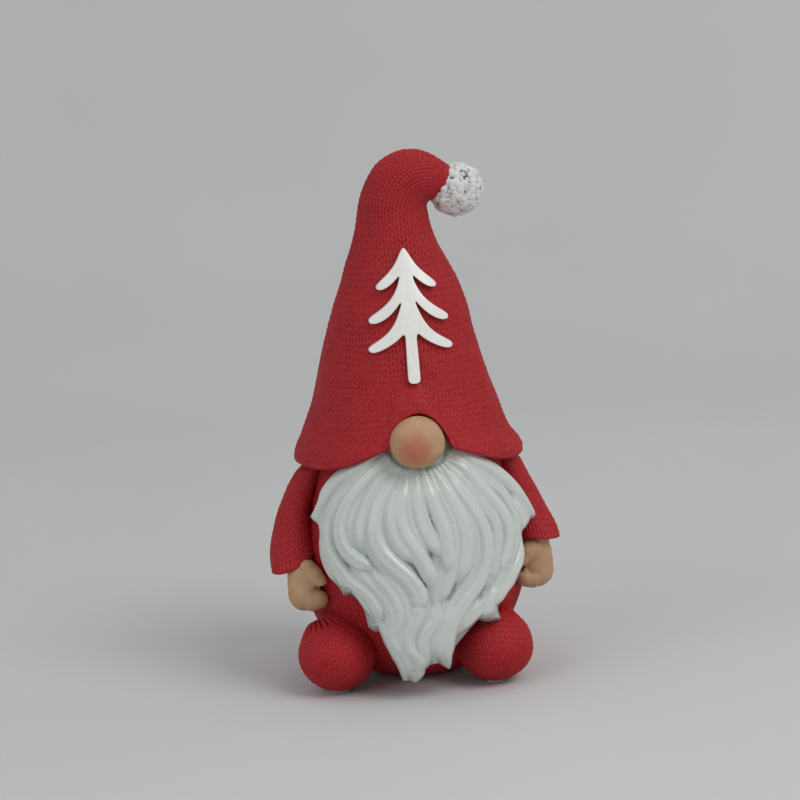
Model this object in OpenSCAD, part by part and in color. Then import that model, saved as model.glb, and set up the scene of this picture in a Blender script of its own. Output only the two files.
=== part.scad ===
// Garden gnome: a hollow cast figure with a tall knitted hat, a long beard and no visible eyes.
// Millimetres, +Z up, the face towards -Y. The origin is at the centre of the bounding box's base.
// The gnome's own right arm and foot are on the -X side.
// Every joint is a spigot or a peg glued into a socket, with glue_gap of clearance all round.

/* [Body] */
// Largest radius of the belly
belly_r = 37; // [36:0.5:37.5]
// Thickness of the cast body wall
body_wall = 5; // [4:0.5:6]
// Radius of the pour hole in the base
pour_r = 7; // [5:0.5:7.5]

/* [Hat] */
// Radius of the flared brim
brim_r = 41.4; // [40.5:0.1:42]
// Thickness of the cast hat wall
hat_wall = 4.2; // [3.8:0.1:4.4]
// Radius of the opening that arches over the nose
arch_r = 11; // [10.6:0.1:12]

/* [Pompom and tree] */
// Radius of the pompom
pompom_r = 9.55; // [9.2:0.05:9.7]
// Radius of the wire pin that holds the pompom
pin_r = 0.8; // [0.6:0.1:1.2]
// Thickness of the raised tree
tree_t = 2.3; // [1.6:0.1:3]

/* [Face and beard] */
// Radius of the round nose
nose_r = 9.05; // [8.4:0.05:9.1]
// Thickness of the beard over the belly
beard_t = 9.2; // [7.5:0.1:9.6]

/* [Arms and feet] */
// Half-width of a sleeve at its cuff
sleeve_r = 7.9; // [7.4:0.1:8]
// Half-width of a foot
foot_r = 14; // [13.2:0.1:14.3]
// Radius of the anti-slip pads
pad_r = 3.4; // [3:0.1:3.8]

/* [Joints] */
// Glue clearance round every spigot, peg and seat
glue_gap = 0.15; // [0.1:0.05:0.25]
// Radius of the arm and foot spigots
spigot_r = 3; // [2.5:0.1:3.2]

/* [Hidden] */
$fn = 64;
body_y = 3.4;
base_z = 1;
pad_t = base_z - 0.1;
hat_x = -0.6;
hat_y = 3.05;
pompom_c = [22, 1.5, 174.9];
nose_c = [0.3, nose_r - 44.45, 91.4];
foot_len = 14.8;
foot_h = 13;
foot_z = 13.3;
right_foot_c = [-31.2, -19, foot_z];
left_foot_c = [25, -22, foot_z];

// Smooth step from 0 at a to 1 at b.
function step01(a, b, v) =
    let (k = max(0, min(1, (v - a) / (b - a))))
    k * k * (3 - 2 * k);
// Mean of a list of points.
function middle(ps) = [for (k = [0 : 2]) let (v = [for (p = ps) p[k]]) v * [for (p = ps) 1] / len(ps)];

// Closed solid through a stack of rings, with a fan of triangles at each end.
module skin(rings) {
    n = len(rings[0]);
    m = len(rings);
    end = n * m + 1;
    points = concat([middle(rings[0])], [for (r = rings, p = r) p], [middle(rings[m - 1])]);
    lower = [for (i = [0 : n - 1]) [0, 1 + i, 1 + (i + 1) % n]];
    upper = [for (i = [0 : n - 1]) [end, 1 + (m - 1) * n + (i + 1) % n, 1 + (m - 1) * n + i]];
    sides = [for (j = [0 : m - 2], i = [0 : n - 1], half = [0, 1])
        let (a = 1 + j * n + i, b = 1 + j * n + (i + 1) % n)
        half == 0 ? [a, b + n, b] : [a, a + n, b + n]];
    polyhedron(points, concat(lower, sides, upper), convexity = 6);
}

// ---- Body ----

// Radius and height of the torso and the head dome, from the base upwards.
body_profile = [
    [16, base_z], [22, 4.2], [27, 9.2], [30.6, 16], [33.2, 24], [35.5, 34], [belly_r - 0.2, 43],
    [belly_r, 50], [belly_r - 0.9, 58], [35, 66], [33.8, 74], [32.6, 82], [31.6, 90], [30.2, 96],
    [28.4, 101], [25.6, 106], [21, 110.5], [14.5, 114], [7.5, 115.8]
];

// How much wider the belly is from side to side than from front to back, by height.
function side_k(z) = lookup(z, [
    [0, 1.1], [20, 1.12], [30, 1.145], [38, 1.13], [45, 1.11], [58, 1.075], [66, 1.05], [74, 1.02], [82, 1]
]);

// Radius of the body from front to back, by height.
function body_r(z) = lookup(z, [for (p = body_profile) [p[1], p[0]]]);

// Oval ring of the body at height z, from its front-to-back radius r and an offset.
function body_ring(r, z, grow) = [for (i = [0 : 47])
    [(r * side_k(z) + grow) * cos(7.5 * i), body_y + (r + grow) * sin(7.5 * i), z]];

module body_solid() {
    sides = [for (p = body_profile) body_ring(p[0], p[1], 0)];
    skin(concat(sides, [body_ring(1, 116.2, 0)]));
}

// The body between two heights with the glue clearance all round, for cutting the pieces that sit on it.
module body_seat(low, high) {
    skin([for (p = body_profile) if (p[1] >= low && p[1] <= high) body_ring(p[0], p[1], glue_gap)]);
}

module body_cavity() {
    sides = [for (k = [2 : 16]) body_ring(body_profile[k][0], body_profile[k][1], -body_wall)];
    skin(concat([body_ring(16, 6.4, 0)], sides));
}

// Horizontal direction from a foot towards the axis of the body.
function foot_turn(c) = atan2(body_y - c[1], -c[0]);

module foot_spigot(c, r, len) {
    translate([c[0], c[1], 14.5])
        rotate([0, 90, foot_turn(c)])
            cylinder(r = r, h = len);
}

module shoulder_spigot(side, r, len) {
    translate([side * 40, 1, 66])
        rotate([0, -90 * side, 0])
            cylinder(r = r, h = len);
}

module body_shell() {
    color([0.62, 0.05, 0.07])
    difference() {
        body_solid();
        body_cavity();
        translate([0, -2, -1])
            cylinder(r = pour_r, h = 9);
        foot_spigot(right_foot_c, spigot_r + glue_gap, 15);
        foot_spigot(left_foot_c, spigot_r + glue_gap, 13);
        shoulder_spigot(1, spigot_r + glue_gap, 11);
        shoulder_spigot(-1, spigot_r + glue_gap, 11);
        translate([nose_c[0], nose_c[1], nose_c[2]])
            rotate([-90, 0, 0])
                cylinder(r = 2 + glue_gap, h = 12.5);
        for (z = [44, 68])
            beard_peg(z, 1.8 + glue_gap, 9);
    }
}

module base_plug() {
    color([0.16, 0.16, 0.16])
    translate([0, -2, 1.6]) {
        cylinder(r = pour_r - glue_gap, h = 4.6);
        translate([0, 0, 4.6])
            cylinder(r1 = pour_r - glue_gap, r2 = pour_r - 2, h = 1.2);
    }
}

// ---- Hat ----

// Height of the brim's lower edge without the arch, by the angle from the front towards +X.
function brim_z(f) = 79.3 - 1.6 * sin(f) + 12.6 * exp(-f * f / 1100);
// Height of the brim's lower edge with the arch over the nose.
function edge_z(f) =
    let (x = 40 * sin(f), arch = abs(f) < 60 && abs(x) < arch_r ? sqrt(arch_r * arch_r - x * x) : 0)
    brim_z(f) + max(0, arch - 1);

// Radius of the hat's outer face by height.
function hat_r(z) = lookup(z, [
    [79, brim_r - 0.7], [81, brim_r], [83.5, brim_r - 0.4], [87, 39], [91, 37.1], [99, 33.9], [108, 31.1],
    [116, 28.8], [125, 26.5], [133, 24.3], [142, 21.5], [150, 18.6], [158, 15.5], [166, 12.9], [170, 12.4]
]);

// Centre of the hat by height.
function hat_cx(z) = 0.2 + (hat_x - 0.2) * step01(80, 96, z);

// One horizontal ring of the hat, thinner than the outer face by w.
function hat_ring(h, w, n) = [for (i = [0 : n - 1])
    let (
        a = 360 * i / n,
        f = a < 270 ? a + 90 : a - 270,
        g = f > 180 ? f - 360 : f,
        z = h + (edge_z(g) - 79.3) * (1 - step01(79, 122, h)),
        r = hat_r(max(z - 0.45 * (edge_z(g) - 79.3) * (1 - step01(79, 100, h)), h)) - w
    )
    [hat_cx(h) + r * cos(a), hat_y + r * sin(a), z]];

// One ring of the curled tip, square to a centre line that turns by t degrees.
function tip_ring(c, r, t, n) = [for (i = [0 : n - 1])
    let (a = 360 * i / n)
    [c[0] + r * cos(a) * cos(t), c[2] + r * sin(a), c[1] - r * cos(a) * sin(t)]];
// Centre along X and Z, radius and tilt of the rings that bend the tip over.
tip_rings = [
    [-1, 167.2, 12.85, 3], [-0.65, 171.3, 12.2, 10.3], [0.15, 173.7, 11.9, 19], [1.2, 175.9, 11.7, 28.3],
    [2.45, 177.8, 11.6, 37], [4.3, 179.5, 11.3, 47], [6.4, 180.6, 10.95, 56], [8.6, 181.1, 10.4, 65],
    [10.7, 181.1, 9.65, 72.5], [13.15, 180.55, 8.5, 82], [15.25, 179.5, 7.3, 92], [16.7, 178.6, 6.5, 101],
    [17.8, 178, 5.9, 108]
];

module hat_shell() {
    n = 72;
    inner = [for (k = [150, 140, 130, 120, 110, 103]) hat_ring(k, hat_wall, n)];
    seat = [hat_ring(98, hat_wall - 0.1, n), hat_ring(92, hat_wall, n), hat_ring(86, hat_wall + 0.3, n),
        hat_ring(81, hat_wall + 0.6, n)];
    rim = [hat_ring(79.4, hat_wall - 0.4, n), hat_ring(79, 1.6, n), hat_ring(79.6, 0.4, n)];
    heights = [81, 83, 86, 90, 95, 100, 106, 113, 120, 128, 136, 143, 150, 157, 163];
    outer = [for (k = heights) hat_ring(k, 0, n)];
    curl = [for (t = tip_rings) tip_ring([t[0], t[1], hat_y * (1 - t[3] / 100)], t[2], t[3], n)];
    color([0.66, 0.05, 0.07])
    difference() {
        skin(concat(inner, seat, rim, outer, curl));
        translate(pompom_c)
            sphere(r = pompom_r + glue_gap);
        pompom_axis()
            cylinder(r = pin_r + 0.1, h = 16);
        for (z = [118, 146])
            tree_peg(z, 1.1 + glue_gap, 0);
    }
}

// Moves children to the pompom's centre, with +Z pointing back into the hat's tip.
module pompom_axis() {
    translate(pompom_c)
        rotate([0, -77, 0])
            children();
}

module pompom() {
    color([0.9, 0.9, 0.88])
    difference() {
        translate(pompom_c)
            sphere(r = pompom_r);
        pompom_axis()
            translate([0, 0, -3])
                cylinder(r = pin_r + 0.1, h = 16);
    }
}

module pompom_pin() {
    color([0.6, 0.6, 0.62])
    pompom_axis()
        translate([0, 0, -2.5])
            cylinder(r = pin_r, h = 18);
}

// ---- Tree on the hat ----

// Right half of the tree's outline, from its tip down to the foot of the trunk.
tree_half = [
    [0, 157.3], [1.2, 155.7], [3.6, 151.3], [6.5, 148.2], [9.8, 145.4], [10.7, 144.3],
    [10.6, 143.4], [9.6, 142.9], [7.2, 143.6], [4.5, 145.6], [2, 148.2], [3.3, 143.8], [5.9, 139.7],
    [9.3, 136.7], [12.9, 134.3], [14.1, 133.1], [14.1, 132.2], [13.2, 131.6], [11, 131.8],
    [7.5, 133.7], [4.5, 136.5], [2, 139.8], [3.1, 136.3], [5.3, 131.4], [8.4, 127.8], [12.7, 125],
    [14.8, 123.6], [14.9, 122.5], [14, 121.8], [12, 122], [8.3, 123.6], [4.8, 125.8], [1.9, 128.6],
    [2, 122.5], [2.2, 112.6], [1.9, 111.5], [1.1, 110.9]
];

module tree_outline() {
    last = len(tree_half) - 1;
    translate([0.35, 0])
        polygon(concat(tree_half, [for (k = [last : -1 : 1]) [-tree_half[k][0], tree_half[k][1]]]));
}

module tree_shell(near, far) {
    face = [for (z = [106, 116, 125, 133, 142, 150, 158, 162]) [hat_r(z), z]];
    translate([hat_x, hat_y, 0])
        rotate_extrude()
            polygon(concat([for (p = face) [p[0] + far, p[1]]],
                [for (k = [len(face) - 1 : -1 : 0]) [face[k][0] + near, face[k][1]]]));
}

module tree_peg(z, r, short) {
    depth = hat_r(z);
    translate([0.1, hat_y - depth - 1, z])
        rotate([-90, 0, 0])
            cylinder(r = r, h = 4.2 - short);
}

module tree_plaque() {
    color([0.9, 0.88, 0.84])
    union() {
        intersection() {
            tree_shell(glue_gap, tree_t);
            rotate([90, 0, 0])
                linear_extrude(height = 60)
                    tree_outline();
        }
        for (z = [118, 146])
            tree_peg(z, 1.1, 0.4);
    }
}

// ---- Nose and beard ----

module nose() {
    color([0.72, 0.5, 0.36])
    union() {
        difference() {
            translate(nose_c)
                sphere(r = nose_r);
            body_seat(74, 110);
        }
        translate(nose_c)
            rotate([-90, 0, 0])
                cylinder(r = 2, h = 11.8);
    }
}

// Height, left edge, right edge, outer radius and inner radius of the beard.
beard_stations = [
    [6.6, -9.5, -5.5, 43.2, 38.6], [9, -11, -2.5, 44, 38], [13, -12.6, 2.5, 45, 37.7],
    [17, -14, 7.5, 45.7, 37.6], [21, -16, 12, 46.2, 37.6], [25, -19, 17.5, 46.5, 37.6],
    [29, -22, 23.5, 46.7, 37.6], [33, -24.5, 28.5, 46.7, 37.5], [37, -28, 32.5, 46.6, 37.4],
    [42, -31.5, 35.8, 46.5, 37.4], [48, -34, 37.6, 46.4, 37.35], [55, -35.2, 38.5, 46, 37.35],
    [61, -36.6, 39.6, 45, 36.8], [67, -36.4, 38.6, 43.4, 35.8], [72, -35.4, 36.4, 41.9, 34.7],
    [76, -33.6, 34, 40.4, 34], [78.7, -31.5, 31, 38.6, 33.6]
];

// How far the beard's upper edge is lifted to follow the brim and the underside of the nose.
function beard_lift(f) =
    let (x = 37 * sin(f) - nose_c[0], dip = nose_r + 1.1)
    min(88, brim_z(f), abs(x) < dip ? nose_c[2] - sqrt(dip * dip - x * x) - 0.2 : 88) - 79.3;

// Inner radius of the beard at a station s and an angle f, clear of the oval belly.
function beard_back(s, f) =
    let (r = body_r(s[0]))
    max(s[4], 0.4 + 1 / norm([sin(f) / (r * side_k(s[0])), cos(f) / r]));

// One level loop: across the front from left to right, then back along the body.
function beard_loop(s) =
    let (
        n = 26,
        left = asin(s[1] / 42.5),
        right = asin(s[2] / 42.5),
        thick = s[3] + (beard_t - 9.2) * step01(6, 30, s[0]),
        lift = step01(56, 79, s[0]),
        front = [for (i = [0 : n])
            let (u = i / n, f = left + (right - left) * u, edge = pow(sin(180 * u), 0.55),
                wave = 0.8 * edge * cos(8 * f + 70 * sin(2.2 * s[0])),
                near = beard_back(s, f),
                r = near + 1.2 + (thick - near - 1.2) * edge + wave)
            [r * sin(f), body_y - r * cos(f), s[0] + beard_lift(f) * lift]],
        back = [for (i = [n : -1 : 0])
            let (u = i / n, f = left + (right - left) * u, near = beard_back(s, f))
            [near * sin(f), body_y - near * cos(f), s[0] + beard_lift(f) * lift]]
    )
    concat(front, back);

module beard_peg(z, r, len) {
    translate([0, body_y - 39.5, z])
        rotate([-90, 0, 0])
            cylinder(r = r, h = len);
}

module beard() {
    color([0.86, 0.88, 0.86])
    union() {
        skin([for (s = beard_stations) beard_loop(s)]);
        for (z = [44, 68])
            beard_peg(z, 1.8, 7.8);
    }
}

// ---- Arms ----

// Centre line of a sleeve for an arm on the given side, from the shoulder at 0 to the cuff at 1.
function arm_line(side, drop, s) = [
    side * (33.4 + 11.1 * sin(90 * s)),
    3.2 - 11.5 * s * s,
    79 - (31.2 + drop) * s
];

function arm_ring(side, drop, tilt, s, k, n) =
    let (c = arm_line(side, drop, s), rx = (6.6 + (sleeve_r - 6.6) * s) * k, ry = (7.6 + 1.9 * s) * k)
    [for (i = [0 : n - 1])
        let (a = 360 * i / n, x = rx * cos(a), y = ry * sin(a))
        [c[0] + x, c[1] + y, c[2] - side * x * (1 - s) * 0.5 - side * x * tilt * s + y * 0.08 * s]];

module sleeve(side, drop, tilt) {
    n = 32;
    stations = [
        [1, 0.85], [1, 0.97], [0.94, 1], [0.8, 1], [0.6, 1],
        [0.4, 1], [0.2, 1], [0.05, 1], [0, 0.9], [0, 0.55]
    ];
    difference() {
        skin([for (k = stations) arm_ring(side, drop, tilt, k[0], k[1], n)]);
        body_seat(24, 96);
        wrist(side, drop, 4 + glue_gap, 10);
    }
    shoulder_spigot(side, spigot_r, 10);
}

// Wrist spigot of an arm, running up into the sleeve.
module wrist(side, drop, r, len) {
    c = arm_line(side, drop, 1);
    translate([c[0] - side * 0.6, c[1] - 0.5, c[2] - 4.5])
        cylinder(r = r, h = len);
}

// Mitten hand, set in from the sleeve's centre line and forward of it.
module hand(side, drop, inset, forward) {
    c = arm_line(side, drop, 1);
    hull() {
        translate(c + [-side * 0.8, -1, -3])
            sphere(r = 4.6, $fn = 28);
        for (b = [[0, 0.8, -4.2, 5.8], [0, 0, -10.9, 5.9], [4, -2, -12.9, 4.1]])
            translate(c + [-side * (inset + b[0]), b[1] - forward, b[2]])
                sphere(r = b[3], $fn = 28);
    }
    hull() {
        for (b = [[3.2, -2.5, -3, 3], [5.6, -3.6, -5.4, 2.4]])
            translate(c + [-side * (inset + b[0]), b[1] - forward, b[2]])
                sphere(r = b[3], $fn = 24);
    }
    wrist(side, drop, 4, 9.5);
}

// Block above the cuff, so a palm stops just short of the sleeve and only its spigot goes in.
module hand_trim(side, drop, tilt) {
    c = arm_line(side, drop, 1);
    difference() {
        translate(c)
            rotate([atan(0.08), side * atan(tilt), 0])
                translate([-16, -16, -glue_gap])
                    cube([32, 32, 20]);
        wrist(side, drop, 4, 14);
    }
}

module right_sleeve() {
    color([0.62, 0.05, 0.07])
    sleeve(-1, 1.6, 0.4);
}

module left_sleeve() {
    color([0.62, 0.05, 0.07])
    sleeve(1, -1, 0.05);
}

module right_hand() {
    color([0.68, 0.49, 0.34])
    difference() {
        hand(-1, 1.6, 3.2, 6.5);
        hand_trim(-1, 1.6, 0.4);
        body_seat(24, 66);
    }
}

module left_hand() {
    color([0.68, 0.49, 0.34])
    difference() {
        hand(1, -1, 1.4, 3.4);
        hand_trim(1, -1, 0.05);
        body_seat(24, 66);
    }
}

// ---- Feet and pads ----

module foot_ball(c) {
    rings = [for (k = [0 : 22]) let (a = -82.5 + 7.5 * k) [for (i = [0 : 39])
        c + [foot_r * cos(a) * cos(9 * i), foot_len * cos(a) * sin(9 * i), foot_h * sin(a)]]];
    difference() {
        skin(rings);
        translate([c[0] - 20, c[1] - 20, base_z - 8])
            cube([40, 40, 8]);
        body_seat(base_z, 50);
    }
}

module right_foot() {
    color([0.64, 0.05, 0.07])
    union() {
        foot_ball(right_foot_c);
        foot_spigot(right_foot_c, spigot_r, 13);
    }
}

module left_foot() {
    color([0.64, 0.05, 0.07])
    union() {
        foot_ball(left_foot_c);
        foot_spigot(left_foot_c, spigot_r, 11);
    }
}

module pad(x, y) {
    color([0.72, 0.7, 0.67])
    translate([x, y, 0])
        cylinder(r = pad_r, h = pad_t);
}

module right_foot_pad() pad(right_foot_c[0], right_foot_c[1]);
module left_foot_pad() pad(left_foot_c[0], left_foot_c[1]);
module rear_pad() pad(0, body_y + 10);

body_shell();
base_plug();
hat_shell();
pompom();
pompom_pin();
tree_plaque();
nose();
beard();
right_sleeve();
left_sleeve();
right_hand();
left_hand();
right_foot();
left_foot();
right_foot_pad();
left_foot_pad();
rear_pad();
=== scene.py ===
"""Garden gnome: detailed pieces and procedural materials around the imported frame.

Everything is worked out in millimetres in the row's frame and written in metres. +X is the image's right, the
gnome faces -Y, and Z is up. Each visible cast piece replaces its plain CAD node with a dense surface.
"""

import math

import bmesh
import bpy
import numpy as np
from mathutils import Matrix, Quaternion, Vector


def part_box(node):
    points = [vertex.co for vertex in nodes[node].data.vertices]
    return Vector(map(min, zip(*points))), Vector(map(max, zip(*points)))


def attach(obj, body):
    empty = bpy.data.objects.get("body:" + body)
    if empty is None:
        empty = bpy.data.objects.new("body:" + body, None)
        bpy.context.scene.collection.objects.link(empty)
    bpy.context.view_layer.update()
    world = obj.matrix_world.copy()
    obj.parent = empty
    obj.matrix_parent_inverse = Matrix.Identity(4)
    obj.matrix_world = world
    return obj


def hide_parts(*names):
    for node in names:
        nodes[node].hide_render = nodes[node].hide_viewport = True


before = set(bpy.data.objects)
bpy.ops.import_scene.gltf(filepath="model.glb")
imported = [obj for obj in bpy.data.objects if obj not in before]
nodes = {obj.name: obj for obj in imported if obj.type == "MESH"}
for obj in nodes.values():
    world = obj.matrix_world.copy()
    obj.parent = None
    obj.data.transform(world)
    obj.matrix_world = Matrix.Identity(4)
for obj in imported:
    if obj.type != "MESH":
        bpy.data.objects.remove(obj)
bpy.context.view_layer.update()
MM = 0.001
PI = math.pi


# ---------------------------------------------------------------- helpers
def step01(a, b, v):
    k = np.clip((np.asarray(v, float) - a) / (b - a), 0, 1)
    return k * k * (3 - 2 * k)


def hermite(t, h, y0, y1, m0, m1):
    """Cubic from y0 to y1 with slopes m0 and m1 over an interval h, at the fraction t."""
    t2, t3 = t * t, t * t * t
    first = (2 * t3 - 3 * t2 + 1) * y0 + (t3 - 2 * t2 + t) * h * m0
    return first + (3 * t2 - 2 * t3) * y1 + (t3 - t2) * h * m1


def smooth_curve(xs, ys, v):
    """Monotone cubic through (xs, ys), sampled at v."""
    xs, ys = np.asarray(xs, float), np.asarray(ys, float)
    h = np.diff(xs)
    d = np.diff(ys) / h
    m = np.empty_like(ys)
    m[0], m[-1] = d[0], d[-1]
    same = d[:-1] * d[1:] > 0
    m[1:-1] = np.where(same, 2 * d[:-1] * d[1:] / np.where(same, d[:-1] + d[1:], 1), 0)
    v = np.clip(np.asarray(v, float), xs[0], xs[-1])
    i = np.clip(np.searchsorted(xs, v) - 1, 0, len(xs) - 2)
    return hermite((v - xs[i]) / h[i], h[i], ys[i], ys[i + 1], m[i], m[i + 1])


def lattice(ix, iy, iz, seed):
    """Repeatable hash from 0 to 1 of a cell's whole-number place."""
    n = (ix * 73856093) ^ (iy * 19349663) ^ (iz * 83492791) ^ (seed * 265443)
    n = n & 0x7FFFFFFF
    n = (n * 15731 + 789221) & 0x7FFFFFFF
    n = (n ^ (n >> 13)) * 1274126 & 0x7FFFFFFF
    return (n ^ (n >> 9) & 0xFFFF) % 65536 / 65535.0


def noise3(p, scale, seed=1):
    """Smooth value noise from 0 to 1 at points p, with cells of the given size."""
    q = p / scale
    i = np.floor(q).astype(np.int64)
    f = q - i
    f = f * f * (3 - 2 * f)
    out = 0
    for dx in (0, 1):
        for dy in (0, 1):
            for dz in (0, 1):
                w = (
                    (f[..., 0] if dx else 1 - f[..., 0])
                    * (f[..., 1] if dy else 1 - f[..., 1])
                    * (f[..., 2] if dz else 1 - f[..., 2])
                )
                out = out + w * lattice(i[..., 0] + dx, i[..., 1] + dy, i[..., 2] + dz, seed)
    return out


def link(name, data):
    obj = bpy.data.objects.new(name, data)
    bpy.context.scene.collection.objects.link(obj)
    return obj


def shade_smooth(mesh):
    mesh.polygons.foreach_set("use_smooth", [True] * len(mesh.polygons))


def turn_outwards(mesh):
    bm = bmesh.new()
    bm.from_mesh(mesh)
    if bm.calc_volume(signed=True) < 0:
        bmesh.ops.reverse_faces(bm, faces=bm.faces[:])
    bm.to_mesh(mesh)
    bm.free()


def set_relief(obj, h):
    """Stores the relief per point, from 0 to 1, which the materials read to paint shade in the low places and
    light on the high ones.
    """
    att = obj.data.attributes.new("relief", "FLOAT", "POINT")
    att.data.foreach_set("value", np.asarray(h, np.float32).ravel())


def make_object(name, verts, faces, relief=None):
    """Mesh object from points in mm, with its faces turned outwards."""
    mesh = bpy.data.meshes.new(name)
    mesh.from_pydata((np.asarray(verts) * MM).tolist(), [], faces)
    mesh.validate()
    turn_outwards(mesh)
    shade_smooth(mesh)
    obj = link(name, mesh)
    if relief is not None:
        set_relief(obj, relief)
    return obj


def grid_faces(rows, cols):
    """Quads of a stack of closed rings, and a fan at each end round two extra points, last in the list."""
    j, i = np.meshgrid(np.arange(rows - 1), np.arange(cols), indexing="ij")
    k = (i + 1) % cols
    quads = np.stack([j * cols + i, j * cols + k, (j + 1) * cols + k, (j + 1) * cols + i], -1).reshape(-1, 4)
    a, b = rows * cols, rows * cols + 1
    i = np.arange(cols)
    k = (i + 1) % cols
    low = np.stack([np.full(cols, a), k, i], -1)
    high = np.stack([np.full(cols, b), (rows - 1) * cols + i, (rows - 1) * cols + k], -1)
    return quads.tolist() + low.tolist() + high.tolist()


def ring_skin(name, P, relief=None):
    rows, cols, _ = P.shape
    verts = np.concatenate([P.reshape(-1, 3), P[0].mean(0)[None], P[-1].mean(0)[None]])
    if relief is not None:
        relief = np.concatenate([relief.ravel(), [relief[0].mean(), relief[-1].mean()]])
    return make_object(name, verts, grid_faces(rows, cols), relief)


def grid_normals(P):
    """Unit normals of a stack of rings, pointing away from the middle of each ring."""
    du = np.roll(P, -1, 1) - np.roll(P, 1, 1)
    dv = np.gradient(P, axis=0)
    n = np.cross(du, dv)
    n /= np.linalg.norm(n, axis=-1, keepdims=True) + 1e-12
    away = P - P.mean(1, keepdims=True)
    if (n * away).sum() < 0:
        n = -n
    return n


def knit(s, v, col=2.75, row=2.3):
    """Height from 0 to 1 of stocking stitch: columns of Vs, s across them and v along them, in mm."""
    c = s / col
    x = np.abs(2 * (c - np.floor(c)) - 1)
    arm = np.clip(np.sin(PI * x), 0, 1) ** 0.7
    bead = 0.5 + 0.5 * np.cos(2 * PI * (v / row - 0.75 * x))
    return arm * (0.3 + 0.7 * bead**0.8)


def knitted(P, s, v, amp, seed, wear=1.0):
    """Pushes rings P out by a worn knit pattern. Returns the points and the relief."""
    drift = (noise3(P, 9.0, seed) - 0.5) * 0.9
    h = knit(s + drift, v + (noise3(P, 7.0, seed + 3) - 0.5) * 1.2)
    keep = 0.35 + 0.65 * step01(0.25, 0.7, noise3(P, 5.0, seed + 5) * 0.6 + noise3(P, 16.0, seed + 6) * 0.4)
    rough = noise3(P, 0.9, seed + 7) - 0.5
    out = amp * (keep * wear * (h - 0.45) + 0.22 * rough)
    return P + grid_normals(P) * out[..., None], 0.5 + (h - 0.5) * (0.35 + 0.65 * keep) + 0.25 * rough


def remesh_join(name, objs, voxel, smooth, factor):
    """Joins closed meshes into one skin by voxel remeshing, then relaxes it. Voxel in mm."""
    for o in bpy.context.selected_objects:
        o.select_set(False)
    for o in objs:
        o.select_set(True)
    bpy.context.view_layer.objects.active = objs[0]
    if len(objs) > 1:
        bpy.ops.object.join()
    o = bpy.context.view_layer.objects.active
    m = o.modifiers.new("remesh", "REMESH")
    m.mode, m.voxel_size, m.use_smooth_shade = "VOXEL", voxel * MM, True
    m = o.modifiers.new("relax", "SMOOTH")
    m.iterations, m.factor = smooth, factor
    mesh = bpy.data.meshes.new_from_object(o.evaluated_get(bpy.context.evaluated_depsgraph_get()))
    bpy.data.objects.remove(o)
    mesh.name = name
    shade_smooth(mesh)
    return link(name, mesh)


def points_of(obj):
    co = np.empty(len(obj.data.vertices) * 3, np.float32)
    obj.data.vertices.foreach_get("co", co)
    return co.reshape(-1, 3).astype(float) / MM


def normals_of(obj):
    no = np.empty(len(obj.data.vertices) * 3, np.float32)
    obj.data.vertex_normals.foreach_get("vector", no)
    return no.reshape(-1, 3).astype(float)


def set_points(obj, p):
    obj.data.vertices.foreach_set("co", (p * MM).astype(np.float32).ravel())
    obj.data.update()


def blob(centre, radii, n=24):
    """Ellipsoid in mm as a closed mesh object."""
    t = np.linspace(0.06, PI - 0.06, n // 2 + 1)
    f = np.arange(n) * 2 * PI / n
    unit = np.stack(
        [np.sin(t)[:, None] * np.cos(f), np.sin(t)[:, None] * np.sin(f), np.cos(t)[:, None] * np.ones(n)], -1
    )
    return ring_skin("blob", unit * np.asarray(radii, float) + np.asarray(centre, float))


def tube(path, radii, n=20):
    """Rounded tube along a path in mm with a radius at each point."""
    path, radii = np.asarray(path, float), np.asarray(radii, float)
    t = np.gradient(path, axis=0)
    t /= np.linalg.norm(t, axis=1, keepdims=True)
    side = np.cross(t, [0.13, 0.95, 0.29])
    side /= np.linalg.norm(side, axis=1, keepdims=True)
    up = np.cross(side, t)
    f = np.arange(n) * 2 * PI / n
    P = path[:, None] + radii[:, None, None] * (
        np.cos(f)[:, None] * side[:, None] + np.sin(f)[:, None] * up[:, None]
    )
    ends = []
    for k, sgn in ((0, -1), (-1, 1)):
        caps = []
        for a in (25, 50, 75):
            c, d = math.cos(math.radians(a)), math.sin(math.radians(a))
            caps.append(path[k] + sgn * t[k] * radii[k] * d + (P[k] - path[k]) * c)
        ends.append(np.array(caps))
    P = np.concatenate([ends[0][::-1], P, ends[1]])
    return ring_skin("tube", P)


# ---------------------------------------------------------------- materials
def new_material(name):
    m = bpy.data.materials.new(name)
    m.use_nodes = True
    t = m.node_tree
    b = next(n for n in t.nodes if n.type == "BSDF_PRINCIPLED")
    return m, t, b


def node(t, kind, **values):
    n = t.nodes.new(kind)
    for k, v in values.items():
        if k in n.inputs:
            n.inputs[k].default_value = v
        else:
            setattr(n, k, v)
    return n


def ramp(t, source, stops):
    r = t.nodes.new("ShaderNodeValToRGB")
    e = r.color_ramp.elements
    e[0].position, e[0].color = stops[0][0], (*stops[0][1], 1)
    e[1].position, e[1].color = stops[-1][0], (*stops[-1][1], 1)
    for pos, col in stops[1:-1]:
        x = e.new(pos)
        x.color = (*col, 1)
    t.links.new(source, r.inputs["Fac"])
    return r.outputs["Color"]


def mix(t, fac, a, b, mode="MIX"):
    n = t.nodes.new("ShaderNodeMix")
    n.data_type, n.blend_type = "RGBA", mode
    for sock, val in ((n.inputs[0], fac), (n.inputs[6], a), (n.inputs[7], b)):
        if hasattr(val, "links"):
            t.links.new(val, sock)
        elif isinstance(val, tuple):
            sock.default_value = (*val, 1)
        else:
            sock.default_value = val
    return n.outputs[2]


def grey(v):
    return v, v, v


def relief_of(t):
    return node(t, "ShaderNodeAttribute", attribute_name="relief").outputs["Fac"]


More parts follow.
